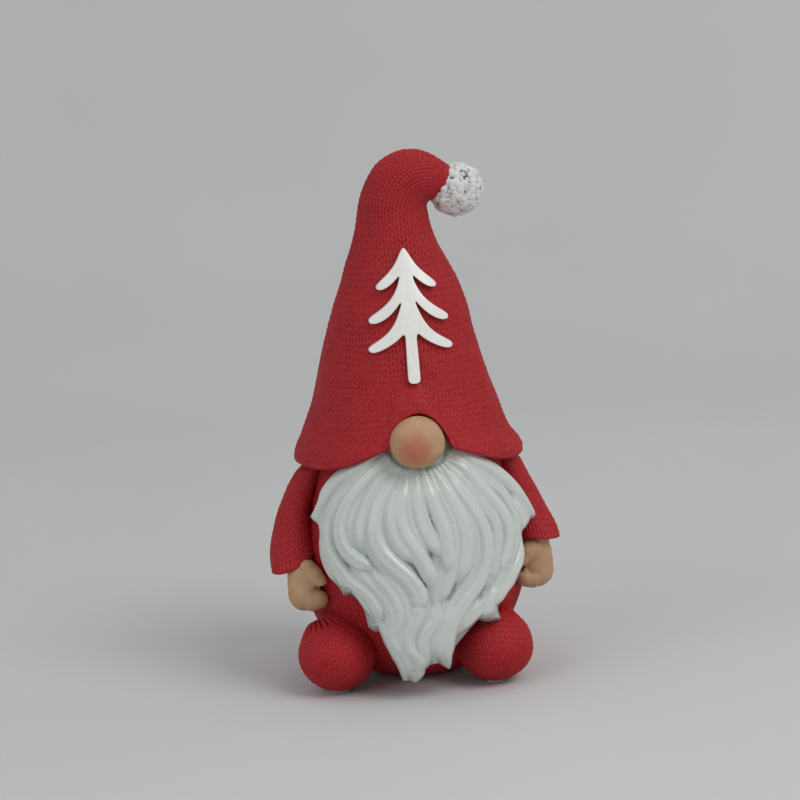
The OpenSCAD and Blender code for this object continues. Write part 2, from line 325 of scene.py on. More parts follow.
def object_noise(t, scale, detail=4.0, rough=0.55):
    co = node(t, "ShaderNodeTexCoord").outputs["Object"]
    n = node(t, "ShaderNodeTexNoise", Scale=scale, Detail=detail, Roughness=rough)
    t.links.new(co, n.inputs["Vector"])
    return n.outputs["Fac"]


def add_bump(t, b, layers):
    """Chains bump nodes: (height socket, strength, distance in mm)."""
    last = None
    for height, strength, dist in layers:
        n = node(t, "ShaderNodeBump", Strength=strength, Distance=dist * MM)
        t.links.new(height, n.inputs["Height"])
        if last is not None:
            t.links.new(last, n.inputs["Normal"])
        last = n.outputs["Normal"]
    t.links.new(last, b.inputs["Normal"])


def red_paint(name, groove_shade, mid, light):
    """Matt red paint over a moulded knit, with painted shade darkening the stitches' grooves and a painted
    highlight lightening their crowns.
    """
    m, t, b = new_material(name)
    # painted shade in the grooves and painted highlight on the crowns, read from the relief
    base = ramp(t, relief_of(t), [(0.0, groove_shade), (0.38, mid), (0.8, light)])
    patch = ramp(t, object_noise(t, 55.0, 3.0), [(0.3, grey(0.90)), (0.7, grey(1.05))])
    col = mix(t, 0.55, base, patch, "MULTIPLY")
    # random flecks of the lighter crown colour
    speck = ramp(t, object_noise(t, 900.0, 2.0, 0.7), [(0.62, grey(0)), (0.78, grey(1))])
    col = mix(t, speck, col, light)
    t.links.new(col, b.inputs["Base Color"])
    rough = ramp(t, object_noise(t, 300.0, 3.0), [(0.3, grey(0.62)), (0.75, grey(0.78))])
    t.links.new(rough, b.inputs["Roughness"])
    b.inputs["Specular IOR Level"].default_value = 0.28
    layers = [(object_noise(t, 1500.0, 4.0, 0.7), 0.25, 0.12), (object_noise(t, 420.0, 3.0), 0.2, 0.25)]
    add_bump(t, b, layers)
    return m


def white_gloss(name):
    """Glossy white paint, with painted shade turning it grey-green in the grooves between the locks and at
    the back.
    """
    m, t, b = new_material(name)
    # painted shade: darker grey-green where the relief is low
    base = ramp(
        t, relief_of(t), [(0.0, (0.40, 0.455, 0.425)), (0.4, (0.56, 0.605, 0.57)), (1.0, (0.675, 0.70, 0.67))]
    )
    tint = ramp(t, object_noise(t, 38.0, 2.0), [(0.35, (0.93, 0.99, 0.955)), (0.65, (1.0, 0.99, 0.99))])
    t.links.new(mix(t, 0.8, base, tint, "MULTIPLY"), b.inputs["Base Color"])
    rough = ramp(t, object_noise(t, 240.0, 3.0), [(0.35, grey(0.22)), (0.7, grey(0.34))])
    t.links.new(rough, b.inputs["Roughness"])
    b.inputs["Coat Weight"].default_value = 0.35
    b.inputs["Coat Roughness"].default_value = 0.18
    b.inputs["Specular IOR Level"].default_value = 0.5
    add_bump(t, b, [(object_noise(t, 650.0, 3.0), 0.12, 0.15)])
    return m


def ivory_satin(name):
    """Ivory paint, with painted shade in dark red low on the side walls, where they meet the hat."""
    m, t, b = new_material(name)
    base = ramp(
        t,
        object_noise(t, 90.0, 4.0),
        [(0.3, (0.87, 0.84, 0.79)), (0.55, (0.91, 0.91, 0.86)), (0.8, (0.86, 0.90, 0.86))],
    )
    # painted shade: dark red at the foot of the raised walls, ivory on top
    wall_shade = ramp(t, relief_of(t), [(0.12, (0.22, 0.05, 0.04)), (0.5, (0.72, 0.62, 0.58)), (0.8, grey(1))])
    t.links.new(mix(t, 1.0, base, wall_shade, "MULTIPLY"), b.inputs["Base Color"])
    rough = ramp(t, object_noise(t, 400.0, 3.0), [(0.3, grey(0.24)), (0.7, grey(0.34))])
    t.links.new(rough, b.inputs["Roughness"])
    add_bump(t, b, [(object_noise(t, 500.0, 3.0), 0.15, 0.15)])
    return m


def crumb_white(name):
    """Rough white crumb, with painted shade turning it grey-brown in the pits, and white on the crowns."""
    m, t, b = new_material(name)
    # painted shade in the pits, lighter on the crowns, read from the relief
    base = ramp(
        t, relief_of(t), [(0.0, (0.17, 0.16, 0.15)), (0.34, (0.42, 0.42, 0.405)), (0.72, (0.76, 0.77, 0.75))]
    )
    fine = ramp(t, object_noise(t, 1300.0, 3.0, 0.7), [(0.3, grey(0.86)), (0.65, grey(1))])
    t.links.new(mix(t, 0.8, base, fine, "MULTIPLY"), b.inputs["Base Color"])
    b.inputs["Roughness"].default_value = 0.72
    b.inputs["Specular IOR Level"].default_value = 0.3
    add_bump(t, b, [(object_noise(t, 1800.0, 4.0, 0.7), 0.5, 0.2)])
    return m


def skin_paint(name, blush=None):
    """Matt tan paint. blush is (centre in mm, radius in mm) of a sprayed orange-pink patch."""
    m, t, b = new_material(name)
    base = ramp(t, object_noise(t, 120.0, 4.0), [(0.3, (0.47, 0.275, 0.148)), (0.7, (0.575, 0.355, 0.205))])
    if blush:
        co = node(t, "ShaderNodeTexCoord").outputs["Object"]
        d = node(t, "ShaderNodeVectorMath", operation="DISTANCE")
        t.links.new(co, d.inputs[0])
        d.inputs[1].default_value = tuple(v * MM for v in blush[0])
        k = node(t, "ShaderNodeMapRange")
        k.interpolation_type = "SMOOTHSTEP"
        k.inputs["From Min"].default_value = blush[1] * 0.35 * MM
        k.inputs["From Max"].default_value = blush[1] * MM
        k.inputs["To Min"].default_value = 0.78
        k.inputs["To Max"].default_value = 0.0
        t.links.new(d.outputs["Value"], k.inputs["Value"])
        base = mix(t, k.outputs["Result"], base, (0.56, 0.155, 0.085))
    t.links.new(base, b.inputs["Base Color"])
    rough = ramp(t, object_noise(t, 350.0, 3.0), [(0.3, grey(0.46)), (0.7, grey(0.6))])
    t.links.new(rough, b.inputs["Roughness"])
    b.inputs["Specular IOR Level"].default_value = 0.35
    add_bump(t, b, [(object_noise(t, 800.0, 4.0, 0.6), 0.15, 0.12)])
    return m


def speckled(name, lo, hi, rough):
    m, t, b = new_material(name)
    t.links.new(ramp(t, object_noise(t, 700.0, 4.0, 0.7), [(0.3, lo), (0.7, hi)]), b.inputs["Base Color"])
    b.inputs["Roughness"].default_value = rough
    add_bump(t, b, [(object_noise(t, 1600.0, 3.0, 0.7), 0.4, 0.1)])
    return m


def wire_steel(name):
    m, t, b = new_material(name)
    steel = ramp(t, object_noise(t, 600.0, 3.0), [(0.3, (0.42, 0.42, 0.43)), (0.7, (0.6, 0.6, 0.62))])
    t.links.new(steel, b.inputs["Base Color"])
    b.inputs["Metallic"].default_value = 1.0
    b.inputs["Roughness"].default_value = 0.38
    add_bump(t, b, [(object_noise(t, 2500.0, 2.0), 0.2, 0.03)])
    return m


# each red: painted groove shade, mid red, painted crown highlight
RED_HAT = red_paint("red_hat_paint", (0.18, 0.004, 0.007), (0.375, 0.0115, 0.0165), (0.47, 0.028, 0.034))
RED_BODY = red_paint("red_body_paint", (0.17, 0.003, 0.006), (0.37, 0.010, 0.015), (0.47, 0.024, 0.03))
RED_SLEEVE = red_paint("red_sleeve_paint", (0.18, 0.004, 0.007), (0.38, 0.0115, 0.0165), (0.48, 0.029, 0.035))
RED_FOOT = red_paint("red_foot_paint", (0.20, 0.004, 0.007), (0.40, 0.0115, 0.0165), (0.485, 0.027, 0.033))
WHITE_BEARD = white_gloss("beard_gloss")
IVORY = ivory_satin("tree_satin")
CRUMB = crumb_white("pompom_crumb")
SKIN = skin_paint("hand_skin")
PAD = speckled("pad_foam", (0.50, 0.48, 0.45), (0.68, 0.66, 0.62), 0.9)
PLUG = speckled("plug_rubber", grey(0.02), grey(0.045), 0.6)
WIRE = wire_steel("pin_wire")


def settle(obj, material, slot, *replaced):
    """Gives a finished piece its paint, hides the plain nodes it replaces and hangs it on the root body. The
    slot is not used.
    """
    obj.data.materials.clear()
    obj.data.materials.append(material)
    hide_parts(*replaced)
    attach(obj, "root")


# ---------------------------------------------------------------- hat
HAT_Y = 3.05
BRIM = 79.3
ARCH_R = 10.6
CONE_Z = [78.5, 80, 81.3, 83, 85, 88, 92, 99.5, 108, 116.5, 125, 133.5, 142, 150, 158, 163.5, 167.5]
CONE_R = [
    40.6, 41.4, 41.4, 41.0, 40.1, 38.2, 36.5, 33.7, 31.0, 28.7, 26.4, 24.3, 21.4, 18.3, 15.1, 13.5, 12.8
]
CONE_X = [0.3, 0.3, 0.3, 0.2, -0.2, -0.6, -0.7, -0.5, -0.8, -0.9, -0.7, -0.2, -0.1, -0.6, -1.0, -1.1, -1.1]
# centre along X and Z, radius and tilt in degrees of the rings that bend the tip over
TIP = [
    (-0.65, 171.3, 12.2, 10.3), (0.15, 173.7, 11.9, 19), (1.2, 175.9, 11.7, 28.3), (2.45, 177.8, 11.6, 37),
    (4.3, 179.5, 11.3, 47), (6.4, 180.6, 10.95, 56), (8.6, 181.1, 10.4, 65), (10.7, 181.1, 9.65, 72.5),
    (13.15, 180.55, 8.5, 82), (15.25, 179.5, 7.3, 92), (16.7, 178.6, 6.5, 101), (17.8, 178.0, 5.9, 108),
]


def brim_z(f):
    """Height of the brim's lower edge at the angle f from the front, in radians, without the arch."""
    g = np.degrees(f)
    left_lift = 1.9 * step01(0.15, 0.75, f) * (1 - step01(1.5, 2.5, f))
    return BRIM - 1.6 * np.sin(f) + 12.6 * np.exp(-g * g / 1100) + left_lift


def edge_z(f):
    """The brim's lower edge with the arch over the nose."""
    x = 39.0 * np.sin(f) - 0.4
    round_top = np.sqrt(np.clip(ARCH_R**2 - x * x, 0, None))
    arch = np.where((np.abs(f) < 1.0) & (np.abs(x) < ARCH_R), round_top, 0)
    return brim_z(f) + np.clip(arch - 1.0, 0, None) * 0.98


def hat_radius(z):
    return smooth_curve(CONE_Z, CONE_R, z)


def hat_rows():
    """Arc length, centre, radius and tilt of each ring: up the cone, round the bend and along the tip."""
    keys = [(x, z, r, 0.0) for z, r, x in zip(CONE_Z, CONE_R, CONE_X)]
    keys += [(x, z, r, math.radians(t)) for x, z, r, t in TIP]
    k = np.array(keys)
    outer = np.stack([k[:, 0] - k[:, 2] * np.cos(k[:, 3]), k[:, 1] + k[:, 2] * np.sin(k[:, 3])], -1)
    d = np.concatenate([[0], np.cumsum(np.linalg.norm(np.diff(outer, axis=0), axis=1))])
    s = np.concatenate([np.arange(1.0, d[-1], 0.42), [d[-1]]])
    return s + 78.5, *[smooth_curve(d, k[:, c], s) for c in range(4)]


def build_hat():
    n = 400
    f = -PI + 2 * PI * np.arange(n) / n
    s, cx, cz, r, tilt = hat_rows()
    lift = edge_z(f) - BRIM

    def level(h, x0, w):
        z = h + lift * (1 - step01(79, 122, h))
        rr = hat_radius(np.maximum(z - 0.45 * lift * (1 - step01(79, 100, h)), h)) - w
        return np.stack([x0 + rr * np.sin(f), HAT_Y - rr * np.cos(f), z], -1)

    rows = []
    for k in range(len(s)):
        if tilt[k] < 1e-3:
            rows.append(level(cz[k], cx[k], 0))
        else:
            x = r[k] * np.sin(f)
            y = HAT_Y * (1 - math.degrees(tilt[k]) / 100)
            along_x, along_z = cx[k] + x * math.cos(tilt[k]), cz[k] - x * math.sin(tilt[k])
            rows.append(np.stack([along_x, y - r[k] * np.cos(f), along_z], -1))
    P = np.array(rows)
    spacing = np.linalg.norm(np.gradient(P, axis=0), axis=-1)
    room = np.clip((spacing - 0.06) / 0.28, 0, 1)
    across = f[None] * r[:, None]
    along = s[:, None] + (P[..., 2] - P[..., 2].mean(1, keepdims=True)) * (tilt[:, None] < 1e-3)
    fade = step01(79.5, 83, s)[:, None] * (1 - step01(s[-1] - 2.5, s[-1], s)[:, None])
    seam = np.clip(1 - np.abs(np.abs(f[None]) - PI) * r[:, None] / 0.9, 0, 1)
    Q, relief = knitted(P, across, along, 0.4, 11, wear=room * (0.35 + 0.65 * fade))
    N = grid_normals(P)
    swell = (noise3(P, 24.0, 4) - 0.5) * 0.9 + (noise3(P, 11.0, 5) - 0.5) * 0.35
    Q = Q + N * (swell * np.clip(room, 0.2, 1) - 0.45 * seam)[..., None]
    # painted shade in the groove of the back seam
    relief = relief * (1 - 0.8 * seam)

    inner = [level(h, -0.6, 4.2) for h in (150, 138, 126, 116, 108, 101, 96, 91, 87, 84)]
    lip = [level(81.6, 0.2, 4.6), level(80.1, 0.3, 4.0), level(79.0, 0.3, 2.9)]
    lip += [level(78.7, 0.3, 1.7), level(78.9, 0.3, 0.7)]
    head = np.array(inner + lip)
    # rounded end of the tip, then a shallow cup that the pompom sits in
    end = []
    for dr, dl in ((0.3, 0.35), (0.8, 0.5), (1.6, 0.2), (2.8, -0.6), (4.2, -1.2), (5.2, -1.5)):
        rr = r[-1] - dr
        a = tilt[-1]
        c = (cx[-1] + dl * math.sin(a), cz[-1] + dl * math.cos(a))
        x = rr * np.sin(f)
        y = HAT_Y * (1 - math.degrees(a) / 100)
        end.append(np.stack([c[0] + x * math.cos(a), y - rr * np.cos(f), c[1] - x * math.sin(a)], -1))
    end = np.array(end)
    allp = np.concatenate([head, Q, end])
    rel = np.concatenate([np.full(head.shape[:2], 0.35), relief, np.full(end.shape[:2], 0.3)])
    rel[len(inner):len(inner) + len(lip)] = 0.42
    settle(ring_skin("hat_knit", allp, rel), RED_HAT, "red_hat", "hat_shell")


build_hat()


# ---------------------------------------------------------------- pompom
CRUMBS = 330
POMPOM_R = 9.2


def build_pompom():
    lo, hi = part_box("pompom")
    c = np.array([(a + b) / 2 / MM for a, b in zip(lo, hi)])
    bm = bmesh.new()
    bmesh.ops.create_icosphere(bm, subdivisions=7, radius=1.0)
    mesh = bpy.data.meshes.new("pompom_crumbs")
    bm.to_mesh(mesh)
    bm.free()
    obj = link("pompom_crumbs", mesh)
    u = points_of(obj) * MM
    rng = np.random.default_rng(7)
    k = np.arange(CRUMBS) + 0.5
    th, ph = np.arccos(1 - 2 * k / CRUMBS), PI * (1 + 5**0.5) * k
    seeds = np.stack([np.sin(th) * np.cos(ph), np.sin(th) * np.sin(ph), np.cos(th)], -1)
    seeds += rng.normal(0, 0.045, seeds.shape)
    seeds /= np.linalg.norm(seeds, axis=1, keepdims=True)
    size = rng.uniform(0.7, 1.25, CRUMBS)
    lift = rng.uniform(-0.35, 0.45, CRUMBS)
    dist = np.sqrt(np.clip(2 - 2 * u @ seeds.T, 0, None)) * POMPOM_R
    bump = np.sqrt(np.clip(1 - (dist / (1.35 * size)) ** 2, 0, None)) * 0.95 * size + lift
    top = np.where(dist < 1.35 * size, bump, -0.6).max(1)
    fine = noise3(u * POMPOM_R, 0.55, 21) - 0.5
    mid = noise3(u * POMPOM_R, 1.5, 22) - 0.5
    r = 8.85 + top * 0.75 + fine * 0.35 + mid * 0.5
    set_points(obj, c + u * r[:, None])
    shade_smooth(mesh)
    set_relief(obj, np.clip((top + 0.6) / 1.9 + fine * 0.35, 0, 1))
    settle(obj, CRUMB, "white_pompom", "pompom")


build_pompom()


# ---------------------------------------------------------------- tree on the hat
TREE = [
    (0, 157.3), (1.2, 155.7), (3.6, 151.3), (6.5, 148.2), (9.8, 145.4), (10.7, 144.3), (10.6, 143.4),
    (9.6, 142.9), (7.2, 143.6), (4.5, 145.6), (2, 148.2), (3.3, 143.8), (5.9, 139.7), (9.3, 136.7),
    (12.9, 134.3), (14.1, 133.1), (14.1, 132.2), (13.2, 131.6), (11, 131.8), (7.5, 133.7), (4.5, 136.5),
    (2, 139.8), (3.1, 136.3), (5.3, 131.4), (8.4, 127.8), (12.7, 125), (14.8, 123.6), (14.9, 122.5),
    (14, 121.8), (12, 122), (8.3, 123.6), (4.8, 125.8), (1.9, 128.6), (2, 122.5), (2.2, 112.6),
    (1.9, 111.5), (1.1, 110.9),
]


def rounded(points, keep):
    """Closed outline with its corners cut twice over, apart from the points in keep."""
    pts = [(np.array(p, float), k in keep) for k, p in enumerate(points)]
    for _ in range(2):
        out = []
        for (a, ka), (b, kb) in zip(pts, pts[1:] + pts[:1]):
            if ka:
                out.append((a, True))
            out.append((a * 0.75 + b * 0.25, False))
            out.append((a * 0.25 + b * 0.75, False))
        pts = out
    return np.array([p for p, _ in pts])


def prism(outline, depth):
    """Flat plate of the outline, from 0 to depth along Y."""
    n = len(outline)
    v = [(x, 0.0, z) for x, z in outline] + [(x, depth, z) for x, z in outline]
    f = [list(range(n - 1, -1, -1)), list(range(n, 2 * n))]
    f += [[i, (i + 1) % n, n + (i + 1) % n, n + i] for i in range(n)]
    return make_object("plate", np.array(v, float), f)


def build_tree():
    notches = [10, 21]
    full = TREE + [(-x, z) for x, z in TREE[:0:-1]]
    keep = set(notches + [len(full) - k for k in notches])
    outline = rounded([(x + 0.35, z) for x, z in full], keep)
    obj = remesh_join("tree_relief", [prism(outline, 2.7)], 0.26, smooth=4, factor=0.5)
    p = points_of(obj)
    rise = p[:, 1] - 0.35
    d = rise + np.where(rise > 1.2, (noise3(p, 5.0, 31) - 0.5) * 0.35, 0)
    rr = hat_radius(p[:, 2]) + d
    cx = smooth_curve(CONE_Z, CONE_X, p[:, 2])
    y = HAT_Y - np.sqrt(np.clip(rr**2 - (p[:, 0] - cx) ** 2, 1, None))
    set_points(obj, np.stack([p[:, 0], y, p[:, 2]], -1))
    set_relief(obj, np.clip(rise / 2.35, 0, 1))
    turn_outwards(obj.data)
    settle(obj, IVORY, "ivory_tree", "tree_plaque")


build_tree()


# ---------------------------------------------------------------- torso
BODY_Y = 3.4
BODY_Z = [1, 4.2, 9.2, 16, 24, 34, 43, 50, 58, 66, 74, 82, 90, 96, 101, 106, 110.5, 114, 115.8]
BODY_R = [16, 22, 27, 30.6, 33.2, 35.5, 36.8, 37, 36.1, 35, 33.8, 32.6, 31.6, 30.2, 28.4, 25.6, 21, 14.5, 7.5]


SIDE_Z = [0, 20, 30, 38, 45, 58, 66, 74, 82]
SIDE_K = [1.1, 1.12, 1.145, 1.13, 1.11, 1.075, 1.05, 1.02, 1.0]


def body_radius(z):
    return smooth_curve(BODY_Z, BODY_R, z)


def body_oval(f, z):
    """Radius of the oval body at the angle f from the front and height z."""
    r = body_radius(z)
    k = smooth_curve(SIDE_Z, SIDE_K, z)
    return r / np.hypot(np.sin(f) / k, np.cos(f))


def build_body():
    n = 470
    f = -PI + 2 * PI * np.arange(n) / n
    prof = [(7.05, 6.4), (7.05, 4.0), (7.05, 1.7), (7.5, 1.05), (10, 1.0), (13, 1.0), (15.2, 1.0)]
    z = np.concatenate([np.arange(1.15, 4.2, 0.35), np.arange(4.2, 88, 0.52), np.arange(88, 115.5, 1.6)])
    prof += list(zip(body_radius(z), z)) + [(4.0, 116.0), (1.0, 116.2)]
    prof = np.array(prof)
    cy = np.where(prof[:, 0] < 7.6, -2.0, BODY_Y)
    cy[-2:] = BODY_Y
    wide = np.where(prof[:, :1] < 7.6, 1.0, smooth_curve(SIDE_Z, SIDE_K, prof[:, 1:]))
    P = np.stack(
        [prof[:, :1] * wide * np.sin(f), cy[:, None] - prof[:, :1] * np.cos(f), prof[:, 1:] * np.ones(n)], -1
    )
    length = np.concatenate([[0], np.cumsum(np.hypot(*np.diff(prof, axis=0).T))])
    room = (step01(1.2, 5, prof[:, 1]) * (1 - step01(88, 94, prof[:, 1])))[:, None]
    Q, relief = knitted(P, f[None] * 35.0, length[:, None], 0.4, 41, wear=room)
    Q = P + (Q - P) * room[..., None]
    settle(ring_skin("body_knit", Q, relief * room + 0.35 * (1 - room)), RED_BODY, "red_body", "body_shell")


build_body()


# ---------------------------------------------------------------- sleeves
ARM_FALL = 32.2
RIGHT_DROP, LEFT_DROP = 1.6, -1.0


def arm_line(side, drop, s):
    """Centre of the sleeve from shoulder, s = 0, to cuff, s = 1. The right arm bows out, the left one in."""
    s = np.asarray(s, float)
    bow = (1.1 if side < 0 else -1.0) * np.sin(PI * s)
    return np.stack(
        [side * (33.9 + 10.7 * np.sin(PI / 2 * s) + bow), 3.2 - 11.5 * s * s, 80 - (ARM_FALL + drop) * s], -1
    )


def build_sleeve(side, drop, tilt, pitch, name, seed, cad):
    n = 168
    f = 2 * PI * np.arange(n) / n
    s = np.concatenate([[0.0], np.linspace(0.0, 1, 88)])
    k = np.concatenate([[0.6], np.clip(0.9 + 0.1 * (s[1:] / 0.04), 0, 1)])
    c = arm_line(side, drop, s)
    rx = (6.7 + 1.2 * step01(0.45, 1, s)) * k
    ry = (7.8 + 1.9 * s) * k
    x = rx[:, None] * np.cos(f)
    y = ry[:, None] * np.sin(f)
    slant = (1 - s[:, None]) * 0.5 + tilt * step01(0.1, 1, s)[:, None]
    z = c[:, 2:] - side * x * slant + y * pitch * s[:, None]
    P = np.stack([c[:, :1] + x, c[:, 1:2] + y, z], -1)
    length = s * (ARM_FALL + drop) * 1.1
    fade = (1 - step01(0.93, 1.0, s) * 0.7)[:, None]
    Q, relief = knitted(P, f[None] * 7.9, length[:, None], 0.36, seed, wear=fade)
    # a soft crease inside the elbow
    fold = 0.3 * np.exp(-(((s - 0.58) / 0.07) ** 2))[:, None] * np.clip(-side * np.cos(f), 0, 1)
    Q = Q - grid_normals(P) * fold[..., None]
    Q += grid_normals(P) * ((noise3(P, 9.0, seed + 9) - 0.5) * 0.7)[..., None]
    base = Q[-1]
    mid = base.mean(0)
    hem = []
    for shrink, up in ((0.995, -0.3), (0.96, -0.5), (0.89, -0.4), (0.84, 0.3), (0.81, 1.6), (0.76, 4.0)):
        ring = mid + (P[-1] - mid) * shrink
        ring = ring + np.array([0, 0.68 * max(up, 0), up])
        hem.append(ring)
    allp = np.concatenate([Q, np.array(hem)])
    rel = np.concatenate([relief, np.full((len(hem), n), 0.4)])
    # painted shade inside the cuff's opening
    rel[-3:] = 0.05
    settle(ring_skin(name, allp, rel), RED_SLEEVE, "red_sleeve", cad)


build_sleeve(-1, RIGHT_DROP, 0.4, 0.08, "right_sleeve_knit", 51, "right_sleeve")
build_sleeve(1, LEFT_DROP, 0.06, -0.1, "left_sleeve_knit", 61, "left_sleeve")


# ---------------------------------------------------------------- hands
def build_hand(side, drop, inset, forward, lower, slit_z, name, cad):
    c = arm_line(side, drop, 1.0)
    o = c + np.array([-side * inset, -forward, -lower])
    g = -side
    fingers = [o + [g * 0.6, -0.8, -11.6], o + [g * 3.0, -1.9, -13.0], o + [g * 4.6, -2.5, -12.6]]
    thumb = [o + [g * 1.4, -1.8, -1.6], o + [g * 3.9, -3.1, -3.7], o + [g * 5.8, -3.7, -6.0]]
    parts = [
        blob(o + [0, 0.6, -4.6], (5.9, 5.4, 6.6)),
        blob(o + [-g * 0.1, -0.2, -10.4], (6.0, 5.2, 6.6)),
        blob(o + [-g * 0.25, 0.2, -7.4], (5.85, 5.2, 6.0)),
        tube([c + [g * 0.8, -1.2, 1.6], o + [0, 0.9, -3.5]], [4.7, 5.2]),
        tube(fingers, [4.6, 4.2, 3.6]),
        tube(thumb, [3.5, 3.1, 2.3]),
    ]
    obj = remesh_join(name, parts, 0.3, smooth=9, factor=0.55)
    p = points_of(obj)
    nn = normals_of(obj)
    # the slit between the thumb and the fingers, running a little way across the palm
    q = p - o
    u = g * q[:, 0]
    slit = np.exp(-(((q[:, 2] + slit_z - 0.22 * (u - 4)) / 0.62) ** 2))
    slit = slit * step01(0.6, 4.2, u) * step01(1.5, -1.5, q[:, 1])
    out = -0.75 * slit + (noise3(p, 3.5, 71) - 0.5) * 0.2
    set_points(obj, p + nn * out[:, None])
    turn_outwards(obj.data)
    settle(obj, SKIN, "skin", cad)


build_hand(-1, RIGHT_DROP, 3.2, 6.5, 0.0, 8.3, "right_hand_mitten", "right_hand")
build_hand(1, LEFT_DROP, 1.4, 3.4, 1.2, 10.2, "left_hand_mitten", "left_hand")


# ---------------------------------------------------------------- feet
def build_foot(name, cad, centre, pole, seed):
    c = np.array(centre)
    n, rows = 190, 120
    t = np.linspace(0.02, PI - 0.02, rows)
    f = 2 * PI * np.arange(n) / n
    # the pole is at the ankle, up and back, so the stitches run from the ankle to the toe
    pole = np.array(pole) / np.linalg.norm(pole)
    e1 = np.cross(pole, [1.0, 0, 0])
    e1 /= np.linalg.norm(e1)
    e2 = np.cross(pole, e1)
    unit = (
        np.cos(t)[:, None, None] * pole
        + (np.sin(t)[:, None] * np.cos(f))[..., None] * e1
        + (np.sin(t)[:, None] * np.sin(f))[..., None] * e2
    )
    P = c + unit * np.array([14.0, 14.8, 13.0])
    low = 1.0
    wear = step01(low + 0.3, low + 3, P[..., 2]) * step01(0.12, 0.5, t)[:, None]
    across = f[None] * 14.0 * np.sin(t)[:, None] ** 0.5
    Q, relief = knitted(P, across, t[:, None] * 14.2, 0.34, seed, wear=wear)
    rib = np.cos(f[None] * 20) * (1 - step01(0.45, 0.8, t))[:, None] * step01(0.1, 0.3, t)[:, None]
    soft = (noise3(P, 9.0, seed + 2) - 0.5) * 0.6
    neck = (0.9 * (1 - step01(0.25, 0.62, t)))[:, None]
    Q = Q + grid_normals(P) * (0.62 * rib + neck + soft - 0.2)[..., None] * step01(low, low + 3, P[..., 2:3])
    Q[..., 2] = np.maximum(Q[..., 2], low)
    settle(ring_skin(name, Q, np.clip(relief + 0.3 * rib, 0, 1)), RED_FOOT, "red_foot", cad)


build_foot("right_foot_knit", "right_foot", (-31.2, -19.0, 13.3), (-0.36, 0.34, 0.87), 81)
build_foot("left_foot_knit", "left_foot", (25.0, -22.0, 13.3), (0.12, 0.5, 0.86), 91)


# ---------------------------------------------------------------- nose
def build_nose():
    c = np.array([-0.5, -35.4, 91.4])
    n, rows = 120, 80
    t = np.linspace(0.02, PI - 0.02, rows)
    f = 2 * PI * np.arange(n) / n
    unit = np.stack(
        [np.sin(t)[:, None] * np.cos(f), -np.cos(t)[:, None] * np.ones(n), np.sin(t)[:, None] * np.sin(f)], -1
    )
    P = unit * np.array([9.55, 9.05, 9.1])
    P[..., 2] -= 0.35 * (unit[..., 0] ** 2)
    P = P + c
    P = P + unit * ((noise3(P, 5.0, 15) - 0.5) * 0.22)[..., None]
    obj = ring_skin("nose_ball", P)
    settle(obj, skin_paint("nose_skin", ((-2.4, -43.6, 89.8), 7.9)), "skin", "nose")


build_nose()


# ---------------------------------------------------------------- beard
# Half-way outer radius of the beard, and the closest it comes to the body's axis, by height
B_Z = [6.6, 9, 13, 17, 21, 25, 29, 33, 37, 42, 48, 55, 61, 67, 72, 76, 80, 85, 90]
B_OUT = [
    43.4, 44.2, 45.2, 45.9, 46.4, 46.7, 46.9, 46.9, 46.8, 46.7, 46.5, 46.1, 45.2, 43.7, 42.2, 40.9, 39.7,
    37.9, 36.2
]
B_IN = [
    39.2, 38.6, 37.7, 37.6, 37.6, 37.6, 37.6, 37.5, 37.4, 37.4, 37.35, 37.2, 36.4, 35.4, 34.5, 33.9, 33.4,
    32.6, 32
]
UNROLL = 44.0
BEARD_T = 5.4
EDGE_ROUND = 4.6
# Outline on a cylinder of radius 44 about the body's axis: X, Z, and 1 at a pointed tip
B_EDGE = [
    (-12, 92.2, 0), (-18, 90.2, 0), (-24.5, 86.8, 0), (-29, 84.4, 0), (-33.4, 81.4, 0), (-36.4, 77.6, 0),
    (-37.6, 73.5, 0), (-37.6, 68.8, 0), (-41.6, 61.8, 1), (-37.2, 61.8, 0), (-36.3, 59, 0), (-36.6, 55, 0),
    (-35.6, 48.5, 0), (-33.6, 43.4, 0), (-30.8, 39.2, 0), (-30.4, 36.2, 1), (-27.8, 37.6, 0),
    (-25.2, 35.0, 0), (-23.7, 32, 0), (-23.1, 29, 0), (-22.7, 25.6, 0), (-20.0, 23.8, 1), (-18.2, 24.4, 0),
    (-17.1, 21.0, 0), (-14.9, 15.8, 0), (-12.5, 11.0, 0), (-11.0, 6.2, 1), (-8.8, 6.6, 0), (-6.2, 5.6, 1),
    (-4.0, 6.6, 0), (-2.4, 8.6, 0), (-2.0, 10.8, 0), (0.4, 11.4, 0), (2.8, 12.0, 0), (5.0, 10.6, 0),
    (7.4, 9.3, 1), (8.6, 12.0, 0), (8.5, 15.2, 0), (10.4, 17.6, 0), (13.7, 20.8, 0), (16.9, 23.8, 0),
    (19.7, 25.8, 0), (22.4, 24.1, 0), (25.4, 23.4, 0), (28.6, 23.0, 1), (28.0, 26.2, 0), (26.8, 28.8, 0),
    (28.4, 31.8, 0), (31.5, 34.8, 0), (33.8, 38, 0), (35.2, 42, 0), (36.2, 46.8, 0), (36.0, 51.6, 0),
    (36.2, 54.0, 0), (43.0, 53.4, 1), (41.8, 59, 0), (40.6, 65.6, 0), (39.0, 71.2, 0), (36.8, 76.0, 0),
    (33.4, 80, 0), (29.2, 83.2, 0), (25, 86.2, 0), (19, 90.0, 0), (13, 92.2, 0),
]


def beard_inner(f, z):
    return np.maximum(smooth_curve(B_Z, B_IN, z), body_oval(f, z) + 0.45)


